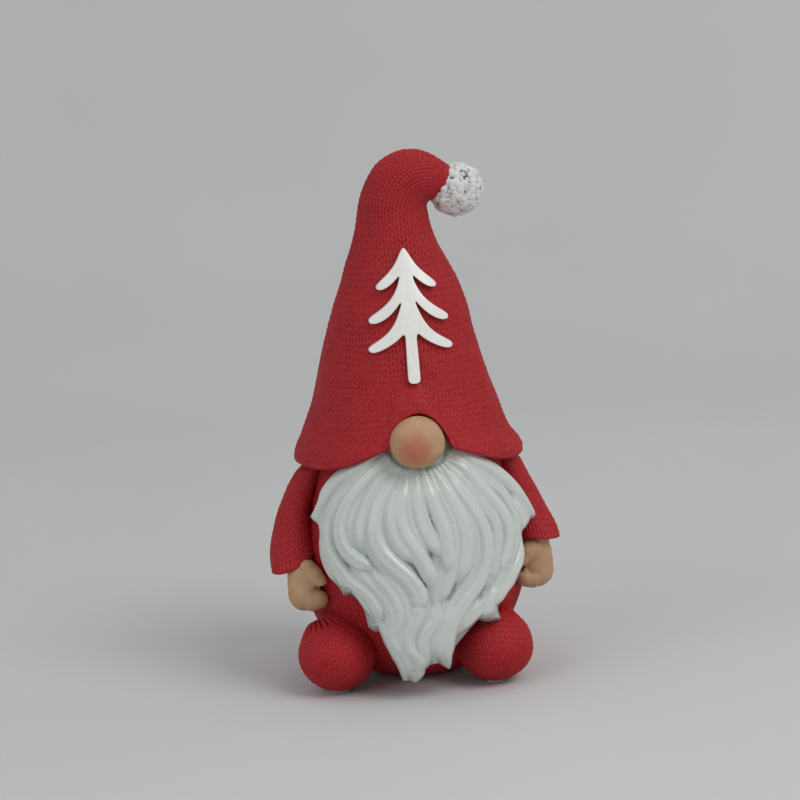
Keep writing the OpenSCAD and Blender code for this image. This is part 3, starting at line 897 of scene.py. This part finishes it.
# Half-width in mm, lift and sideways lean of the crown, then angle in degrees and height along it
LOCKS = [
    (3.5, 0.3, 0, ((-20.6, 88.4), (-34, 83.6), (-45.5, 78.8), (-53, 72.6), (-57.2, 67.4), (-61.6, 62.9))),
    (3.3, 0, 0.2, ((-18.7, 86.5), (-29.1, 82.3), (-35.7, 77.5), (-44.8, 70.6), (-47.9, 63.8), (-48, 57.8),
        (-45.7, 52.6), (-39.9, 46.9), (-37.2, 41.7), (-40.3, 38.5))),
    (3.2, 0.45, 0.5, ((-17.1, 85.6), (-24.2, 81.9), (-32, 76.4), (-37.5, 70.9), (-40.2, 65.4), (-40.2, 60.1),
        (-37, 54.6), (-31.1, 50.9), (-26.2, 48.4), (-25.8, 43.9))),
    (2.4, 0.1, 0.4, ((-16, 84.4), (-22, 81), (-28.9, 75.3), (-33.1, 69.9), (-35, 64.5), (-34.5, 59.1),
        (-31.7, 54.5), (-28.7, 51.6))),
    (2.9, 0.4, 0.5, ((-14, 83.5), (-19.2, 80.2), (-25.1, 74.5), (-28.5, 69.4), (-30.3, 64), (-30.1, 58.7),
        (-28.6, 54.6), (-27.1, 52))),
    (2.6, 0, 0.4, ((-12.5, 82.6), (-17.1, 79), (-22.1, 74.3), (-25.5, 69.5), (-27.1, 64.7), (-26.6, 59.4),
        (-23.9, 54.1), (-19.1, 48.8), (-14.4, 43.4), (-11.8, 38.6), (-10.7, 33.2), (-9.9, 29), (-12.7, 25.1),
        (-16.1, 21.8))),
    (3.3, 0.6, 0.55, ((-10.9, 81.9), (-14.6, 78.3), (-19.2, 74), (-22.1, 69.5), (-23.3, 64.8), (-22.9, 59.5),
        (-19.5, 53.6), (-14, 48.8), (-7.9, 43.8), (-4.6, 38.9), (-5.1, 34.2), (-7.2, 29.8))),
    (2.4, 0, 0.4, ((-9.7, 81.6), (-12.8, 77.7), (-16.4, 73.1), (-19.1, 68.4), (-20.3, 63.6), (-19.5, 58.9),
        (-16.2, 53.6), (-10.8, 48.7), (-5.7, 44.4), (-2.7, 40))),
    (2.7, 0.55, 0.55, ((-8.6, 81.3), (-11.1, 77.4), (-13.9, 72.4), (-15.5, 67.8), (-15.1, 63), (-13, 58),
        (-9.7, 54.3), (-6.6, 52), (-2.7, 47.2))),
    (3, 0.6, 0.55, ((-6.6, 80.9), (-8.6, 77), (-10.5, 72.1), (-11.4, 67.1), (-10, 61.4), (-6.4, 56.3),
        (-3.4, 52.3), (-0.3, 47.3), (1.2, 42.8), (0.3, 37.8))),
    (2.6, 0.1, 0.45, ((-4.8, 81.5), (-6.5, 76.3), (-7.4, 71.1), (-7.5, 66.4), (-6, 61.6), (-3.1, 57),
        (-0.1, 53), (1.4, 49.3))),
    (2.4, 0.6, 0.5, ((-2.8, 81.3), (-3.1, 76.2), (-3, 70.9), (-2.3, 66.1), (-0.7, 61.3), (1.9, 57.3),
        (4.6, 54.1), (6.3, 51), (5.7, 48.4))),
    (1.9, 0.35, 0.3, ((-1.1, 81.2), (-0.5, 76), (-0.6, 71.3), (0, 67.2), (1.5, 62.3), (4.1, 58), (7.2, 53.9),
        (8.7, 49.3), (5.2, 46))),
    (2.8, 0.55, 0.1, ((1.6, 81.2), (3.1, 75.8), (4.9, 70.7), (6.8, 65.5), (8.7, 60), (9.1, 55.2), (9.6, 50.4),
        (8.9, 46.3), (6.5, 42.4))),
    (2.8, 0, 0.2, ((5, 80.3), (6.7, 76.1), (9.4, 71.2), (11.7, 66.2), (13, 60.8), (13.1, 55.4), (12, 50.2),
        (10.7, 45.5), (7, 39.9), (4.5, 35.4), (3.9, 31.2))),
    (2.9, 0.5, 0.2, ((7.1, 80.8), (10.4, 76.4), (14.2, 70.7), (16.6, 65.2), (18.2, 59.6), (18.5, 54.2),
        (17.1, 49), (14.8, 43.9), (12.3, 39.4))),
    (2.8, -0.1, 0.2, ((9.6, 81.2), (13.5, 76.7), (17.8, 70.9), (20.6, 65.3), (22.3, 59.7), (22.7, 54.3),
        (22, 49), (20, 43.9), (16.5, 39), (12, 34.7), (7.9, 30.3), (5.5, 26.3), (3.3, 21.9), (1.9, 17.8))),
    (2.7, 0.5, 0.2, ((11.8, 81.9), (15.5, 77.7), (20.6, 71.8), (24.8, 66), (27.9, 60.2), (28.8, 54.7),
        (28, 49.4), (25.9, 44.3), (21.8, 39.5), (16.6, 35.3), (12.5, 31), (9.2, 26.6), (7.5, 21.5),
        (7.6, 16.7), (8.5, 12.4))),
    (3.3, -0.1, 0, ((14.4, 82.8), (19.4, 78.4), (26.1, 72.3), (31.6, 66.3), (35.5, 60.4), (35.6, 55),
        (33.3, 49.3), (31.3, 44.1), (30.5, 39.4), (32.2, 35.9))),
    (2.9, 0.5, -0.1, ((16.3, 84.4), (26, 79.3), (30.2, 74.2), (37.5, 67.3), (42.3, 60.8), (43.1, 54.7),
        (40.3, 49), (36.5, 44), (32.5, 39.1))),
    (3.3, -0.05, -0.1, ((18.2, 86.1), (29.1, 81.4), (34.6, 76.6), (44.7, 69.5), (49, 62.9), (49.2, 57.4),
        (46.5, 51.8), (42.2, 46.9), (37.5, 42.1), (32.3, 36.8), (26.4, 32.8), (19.5, 29.6), (13.7, 25.5),
        (10.9, 20.6))),
    (3.7, 0.5, 0, ((21.2, 86.6), (36, 81.6), (50.5, 73.6), (60, 66.2), (67.5, 59.6), (75.5, 55.2))),
    (3, 0.35, 0, ((44.7, 69.5), (53.5, 61.6), (55.5, 55.3), (53.6, 49.5), (49.3, 44.7), (43, 40.8),
        (37, 36.7), (30.9, 32.7), (25.3, 29.4))),
    (2.8, 0.5, 0, ((35, 42.4), (31.8, 36.8), (28.2, 32.6), (27, 29.1), (29.6, 26.9), (34.7, 26.4))),
    (2.6, 0.4, 0.3, ((-46.6, 55.5), (-40.9, 48.7), (-34.5, 43), (-28, 39.7), (-24.1, 35.6), (-22.6, 31.4),
        (-23.8, 28.4), (-26.9, 27.4))),
    (2.6, 0.2, 0.2, ((-48.3, 60.2), (-45.8, 52), (-40.7, 45.1), (-36.3, 40.5), (-40.3, 38.2))),
    (2.4, 0, 0.2, ((-38.2, 47.6), (-32.9, 40.7), (-28.3, 35.5), (-25.5, 31.4), (-26.6, 27.1))),
    (2.8, 0.1, 0.4, ((-32.9, 51.5), (-28.4, 45.1), (-23.3, 41), (-19.2, 36.9), (-16.9, 32.1), (-17.6, 27.3),
        (-18.6, 23.7), (-16.3, 18.5), (-13.3, 13.6))),
    (2.8, 0.4, 0.4, ((-26.4, 50.5), (-22.3, 45.2), (-17.8, 41.1), (-14.8, 36.9), (-13.6, 32.7), (-14.6, 28.5),
        (-17.1, 24.3), (-16.2, 20.3), (-11.9, 17.2))),
    (3, 0, 0.4, ((-22.7, 50.6), (-17.9, 45.2), (-13.1, 41), (-10.7, 35.9), (-9.4, 30.8), (-10, 27.8),
        (-12.7, 24.8), (-14.6, 20.9), (-11.9, 16.6), (-10.7, 12.3), (-12.5, 8.7))),
    (2.6, 0.35, 0.3, ((-22.5, 31.4), (-21, 26.7), (-19.9, 21.5), (-17.2, 16.6), (-14.5, 11.8), (-13.2, 8.2))),
    (2.8, 0.5, 0.3, ((-7.3, 40.8), (-4.8, 35.4), (-5.8, 30.6), (-8.3, 26.5), (-10.4, 22.6), (-9.6, 18.6),
        (-6, 15.8), (-4.8, 11.5), (-7.3, 8))),
    (2.6, 0.55, 0.3, ((2.6, 38.5), (2.8, 33.7), (1.8, 29), (-1.5, 25.3), (-3.8, 21.1), (-3.4, 16.9),
        (-2.5, 13.2))),
    (2.4, 0, 0.3, ((-0.9, 40.5), (-1.2, 35.8), (-1.9, 31), (-4.3, 27), (-6.7, 23.5), (-5.8, 18.8),
        (-3.1, 14.5))),
    (2.4, 0.35, 0.2, ((6.9, 37.5), (5.9, 32.9), (4.5, 28.2), (2, 24.2), (0.6, 19.7), (1.1, 16))),
    (2.8, 0.55, 0.1, ((12.9, 37.6), (10.3, 33), (7.8, 28.5), (5.3, 23.9), (3.9, 19.4), (5.2, 15.1))),
    (2.6, 0.1, 0, ((23.3, 38.1), (18.9, 33.9), (13.9, 29.6), (9.9, 25.3), (7.8, 20.3), (8.3, 15.4))),
    (2.4, 0.35, 0, ((26.6, 35.8), (22.9, 32.1), (17.8, 28.6), (12.9, 25))),
    (3.2, -0.1, 0, ((-46, 80), (-52.5, 73.5), (-56.8, 66), (-58.3, 60), (-57, 54), (-53, 48), (-47.5, 43),
        (-42, 38.5))),
    (3, -0.3, 0, ((-50, 70), (-51.5, 63), (-51, 57), (-48, 50.5), (-43.5, 45), (-39.5, 40))),
    (3.2, -0.1, 0, ((49, 75), (55.5, 67), (59.5, 59.5), (60, 52), (58, 45.5), (53, 40), (47, 36))),
    (3, -0.2, 0, ((55, 71), (62, 64), (65, 57))),
    (3, -0.2, 0, ((44, 48), (48.5, 42), (45, 37), (40, 33), (36, 29.5))),
    (2.9, -0.35, 0, ((8, 52), (6.5, 48), (5.2, 44), (4, 40), (3, 36), (2.2, 32), (1.6, 28))),
    (2.9, -0.3, 0.2, ((-36, 54), (-33, 49), (-30.5, 44.5), (-27.5, 40.5), (-25.5, 36))),
    (2.9, -0.3, 0, ((30, 48), (29.5, 43), (27.5, 38), (24, 33.5))),
    (2.6, 0.1, 0, ((26, 36), (29.5, 31.5), (31.5, 27.5), (34.5, 25.2))),
    (2.3, -0.55, 0, ((4.6, 58), (4.3, 53), (4.4, 48), (4.8, 44), (4.4, 39))),
    (2.5, 0, 0, ((5.5, 22), (5.8, 18), (7.2, 14), (8.9, 10))),
    (2.5, -0.1, 0, ((0.5, 20), (0.8, 16), (2.2, 13))),
    (2.4, 0.2, 0, ((-8.5, 16), (-8.8, 12), (-8.2, 8.5), (-8, 6.8))),
]


def smooth_curve_path(d, v, s):
    """Cubic through v at distances d, with slopes from its neighbours, sampled at s."""
    m = np.gradient(v, d)
    i = np.clip(np.searchsorted(d, s, side="right") - 1, 0, len(d) - 2)
    h = d[i + 1] - d[i]
    return hermite((s - d[i]) / h, h, v[i], v[i + 1], m[i], m[i + 1])


def lock_paths():
    """Centre line of each lock on the unrolled cylinder, with its half-width, crown height and lean."""
    rng = np.random.default_rng(5)
    out = []
    for half, lift, lean, pts in LOCKS:
        p = np.array(pts, float)
        p[:, 0] = np.radians(p[:, 0]) * UNROLL
        if p[-1, 1] < 20:
            step = p[-1] - p[-2]
            p = np.vstack([p, p[-1] + step * 4.0 / np.linalg.norm(step)])
        d = np.concatenate([[0], np.cumsum(np.hypot(np.diff(p[:, 0]), np.diff(p[:, 1])))])
        s = np.linspace(0, d[-1], max(12, int(d[-1] / 1.0)))
        line = np.stack([smooth_curve_path(d, p[:, 0], s), smooth_curve_path(d, p[:, 1], s)], -1)
        grow = 0.45 + 0.55 * step01(0, 9, s)
        taper = 0.12 + 0.88 * step01(0, 9.0, s[-1] - s) ** 0.8
        crown = lift * 1.5 * step01(0, 8, s) - 0.5 * (1 - taper)
        out.append((line, half * grow * taper, crown, lean, rng.uniform(0, 2 * PI)))
    return out


def lock_height(a, z):
    """Height of the locks over the beard's mean face at points on the unrolled cylinder."""
    best = np.full(a.shape, -2.3)
    q = np.stack([a, z], -1)
    for line, width, crown, lean, phase in lock_paths():
        low, high = line.min(0) - 4, line.max(0) + 4
        near = np.where((q > low).all(1) & (q < high).all(1))[0]
        if not len(near):
            continue
        v = q[near]
        seg0, seg1 = line[:-1], line[1:]
        d = seg1 - seg0
        t = ((v[:, None] - seg0) * d).sum(-1) / (d * d).sum(-1)
        t = np.clip(t, 0, 1)
        foot = seg0 + t[..., None] * d
        off = v[:, None] - foot
        dist = np.linalg.norm(off, axis=-1)
        k = dist.argmin(1)
        row = np.arange(len(near))
        tt = t[row, k]
        side = np.sign(d[k, 0] * off[row, k, 1] - d[k, 1] * off[row, k, 0])
        w = width[k] + (width[k + 1] - width[k]) * tt
        c = crown[k] + (crown[k + 1] - crown[k]) * tt
        x = side * dist[row, k] / w
        size = np.clip(w / 2.6, 0.3, 1.15)
        body = np.clip(1 - np.abs(x) ** 2.6, 0, 1) ** 0.62
        fine = 0.10 * np.cos(2 * PI * x * 1.1 + phase) * step01(1.0, 0.5, np.abs(x)) * size
        h = c - 2.1 + 2.0 * body * size + lean * 0.55 * x * body + fine
        h = np.where(np.abs(x) < 1, h, -9)
        best[near] = np.maximum(best[near], h)
    return best


def build_beard():
    edge = [(math.asin(x / UNROLL) * UNROLL, z) for x, z, _ in B_EDGE]
    keep = {k for k, e in enumerate(B_EDGE) if e[2]}
    outline = rounded(edge, keep)
    obj = remesh_join("beard_locks", [prism(outline, BEARD_T)], 0.4, smooth=1, factor=0.4)
    p = points_of(obj)
    a, z, q = p[:, 0], p[:, 2], np.clip(p[:, 1] / BEARD_T, 0, 1)
    f = a / UNROLL
    # distance inside the outline, away from the upper edge that the hat covers
    seg = np.roll(outline, -1, 0) - outline
    inside = np.full(len(a), 99.0)
    pz = np.stack([a, z], -1)
    for r0, d in zip(outline, seg):
        t = np.clip(((pz - r0) @ d) / (d @ d + 1e-9), 0, 1)
        inside = np.minimum(inside, np.linalg.norm(pz - r0 - t[:, None] * d, axis=1))
    rim = np.sqrt(1 - (1 - np.clip(inside / EDGE_ROUND, 0, 1)) ** 2)
    height = lock_height(a, z)
    near = beard_inner(f, z)
    face = smooth_curve(B_Z, B_OUT, z) + 0.25
    lip = near + 1.5
    front = lip + np.maximum(face - lip, 0.6) * rim + height * (0.25 + 0.75 * rim)
    front = np.maximum(front, near + 0.7)
    # tucked in under the brim and behind the nose
    cover = step01(-1.5, 2.5, z - brim_z(f))
    front = front * (1 - cover) + np.minimum(front, hat_radius(np.full(len(z), 84.0)) - 1.6) * cover
    r = near + q * (front - near)
    set_points(obj, np.stack([r * np.sin(f), BODY_Y - r * np.cos(f), z], -1))
    # relief falls in the grooves and towards the back face on the body, where the gloss paints shade
    set_relief(obj, np.clip(0.82 + height / 2.6, 0, 1) * np.clip(q * 1.4, 0, 1))
    turn_outwards(obj.data)
    settle(obj, WHITE_BEARD, "white_beard", "beard")


build_beard()

# ---------------------------------------------------------------- carried-over CAD nodes
for name, material in (
    ("base_plug", PLUG),
    ("pompom_pin", WIRE),
    ("right_foot_pad", PAD),
    ("left_foot_pad", PAD),
    ("rear_pad", PAD),
):
    o = nodes[name]
    o.data.materials.clear()
    o.data.materials.append(material)


# ---------------------------------------------------------------- floor, light, camera
def build_stage():
    """A paper cove all round: close behind the figure, and further off at its sides and in front."""
    n = 160
    phi = 2 * PI * np.arange(n) / n
    behind = 0.5 + 0.5 * np.sin(phi)
    reach = 1.1 + 1.7 * (1 - behind) ** 1.2
    top = 0.35 + 1.25 * behind**4
    rows = [(k / 24 * 0.5, 0.0, 0.0) for k in range(1, 25)]
    for k in range(1, 25):
        a = PI / 2 * k / 24
        rows.append((0.5 + 0.5 * math.sin(a), 0.55 * (1 - math.cos(a)), 0.0))
    rows += [(1.0, 0.55, k / 6) for k in range(1, 7)]
    ring = np.stack([np.cos(phi), np.sin(phi)], -1)
    verts = [(0.0, 0.0, 0.0)]
    for out, z, climb in rows:
        flat = ring * (reach * out)[:, None]
        verts += [(x, y, z + climb * t) for (x, y), t in zip(flat.tolist(), top.tolist())]
    faces = [[0, 1 + i, 1 + (i + 1) % n] for i in range(n)]
    for j in range(len(rows) - 1):
        faces += [
            [1 + j * n + i, 1 + (j + 1) * n + i, 1 + (j + 1) * n + (i + 1) % n, 1 + j * n + (i + 1) % n]
            for i in range(n)
        ]
    mesh = bpy.data.meshes.new("studio_floor")
    mesh.from_pydata(verts, [], faces)
    shade_smooth(mesh)
    obj = link("studio_floor", mesh)
    mat, t, b = new_material("studio_paper")
    paper = ramp(t, object_noise(t, 3.0, 2.0), [(0.3, (0.61, 0.61, 0.605)), (0.7, (0.65, 0.65, 0.645))])
    # the paper is painted lighter with distance from the figure, painted light that keeps the far cove as
    # bright as the near floor
    co = node(t, "ShaderNodeTexCoord").outputs["Object"]
    d = node(t, "ShaderNodeVectorMath", operation="LENGTH")
    t.links.new(co, d.inputs[0])
    k = node(t, "ShaderNodeMapRange")
    k.interpolation_type = "SMOOTHSTEP"
    k.inputs["From Min"].default_value = 1.0
    k.inputs["From Max"].default_value = 2.2
    t.links.new(d.outputs["Value"], k.inputs["Value"])
    t.links.new(mix(t, k.outputs["Result"], paper, (0.86, 0.86, 0.855)), b.inputs["Base Color"])
    b.inputs["Roughness"].default_value = 0.85
    b.inputs["Specular IOR Level"].default_value = 0.15
    mesh.materials.append(mat)


build_stage()


def area(name, loc, target, size, power, color=grey(1)):
    light = bpy.data.lights.new(name, "AREA")
    light.shape, light.size, light.energy, light.color = "DISK", size, power, color
    o = link(name, light)
    o.location = loc
    o.rotation_euler = (Vector(target) - Vector(loc)).to_track_quat("-Z", "Y").to_euler()


area("key_light", (0.8, -0.75, 1.2), (0, 0, 0.09), 1.0, 9.6, (1.0, 0.99, 0.975))
area("fill_light", (-1.1, -0.8, 0.8), (0, 0, 0.09), 1.2, 3.8, (0.97, 0.99, 1.0))
area("top_light", (0.1, 0.25, 1.5), (0, 0, 0.05), 1.2, 2.2)

world = bpy.data.worlds.new("studio_world")
world.use_nodes = True
bg = world.node_tree.nodes["Background"]
bg.inputs["Color"].default_value = (0.93, 0.95, 1.0, 1)
bg.inputs["Strength"].default_value = 0.38
bpy.context.scene.world = world
bpy.context.scene.view_settings.view_transform = "Standard"
bpy.context.scene.view_settings.look = "None"

AZ, EL, ROLL = math.radians(-6.0), math.radians(10.0), math.radians(3.0)
CAMERA_DISTANCE = 0.9
AIM_HEIGHT = 0.095
AIM_LEFT, AIM_UP = 1.805 * MM, 5.415 * MM
LENS = 112.275
forward = Vector((-math.sin(AZ) * math.cos(EL), math.cos(AZ) * math.cos(EL), -math.sin(EL)))
right = Vector((math.cos(AZ), math.sin(AZ), 0))
up = right.cross(forward)
up_r = up * math.cos(ROLL) - right * math.sin(ROLL)
right_r = right * math.cos(ROLL) + up * math.sin(ROLL)
aim = Vector((0, 0, AIM_HEIGHT)) - right_r * AIM_LEFT + up_r * AIM_UP
cam_data = bpy.data.cameras.new("camera")
cam_data.sensor_width = 36
cam_data.lens = LENS
cam_data.clip_start = 0.05
cam = link("camera", cam_data)
cam.location = aim - forward * CAMERA_DISTANCE
quat = forward.to_track_quat("-Z", "Y")
cam.rotation_mode = "QUATERNION"
cam.rotation_quaternion = Quaternion(forward, ROLL) @ quat
bpy.context.scene.camera = cam
